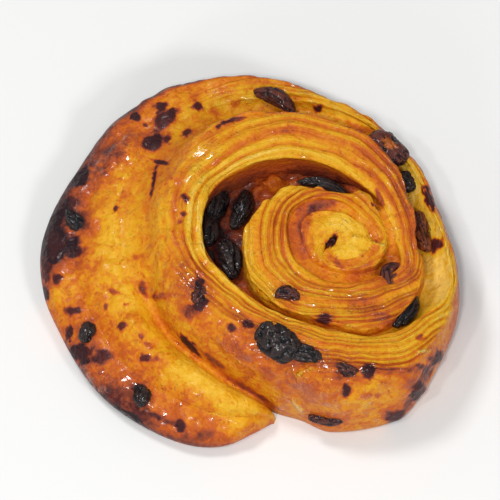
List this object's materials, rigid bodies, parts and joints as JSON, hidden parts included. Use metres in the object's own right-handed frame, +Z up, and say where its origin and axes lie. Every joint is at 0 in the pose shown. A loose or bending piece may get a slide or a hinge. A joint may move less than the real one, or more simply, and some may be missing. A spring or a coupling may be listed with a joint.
{
  "type": "pain aux raisins",
  "caption": "Coiled raisin pastry: a strip of laminated dough wound around custard, glazed and browned, with raisins in the custard and in the crust.",
  "frame": {"origin": "The middle of the footprint, on the flat base that the pastry rests on.", "axes": "+Z is up, out of the coiled side. +X points from the broad outer lobe towards the coil's right side, along the longest extent. +Y points away from the viewer of the picture."},
  "size_m": [0.1162, 0.1081, 0.0295],
  "materials": {
    "dough": "baked and glazed",
    "custard": "baked and moist",
    "raisin": "wrinkled and sticky"
  },
  "bodies": {
    "root": {"dough": "dough", "custard": "custard", "raisin_top": "raisin", "raisin_rim": "raisin", "raisin_rim_small": "raisin", "raisin_right": "raisin", "raisin_seam": "raisin", "raisin_core": "raisin", "raisin_pocket_back": "raisin", "raisin_pocket_left": "raisin", "raisin_pocket_mid": "raisin", "raisin_pocket_front": "raisin", "raisin_pocket_low": "raisin", "raisin_pocket_rim": "raisin", "raisin_band": "raisin", "raisin_band_tail": "raisin", "raisin_coil": "raisin", "raisin_band_small": "raisin", "raisin_skin": "raisin", "raisin_lobe_left": "raisin", "raisin_lobe_low": "raisin", "raisin_lobe_front": "raisin", "raisin_foot": "raisin"}
  },
  "joints": []
}
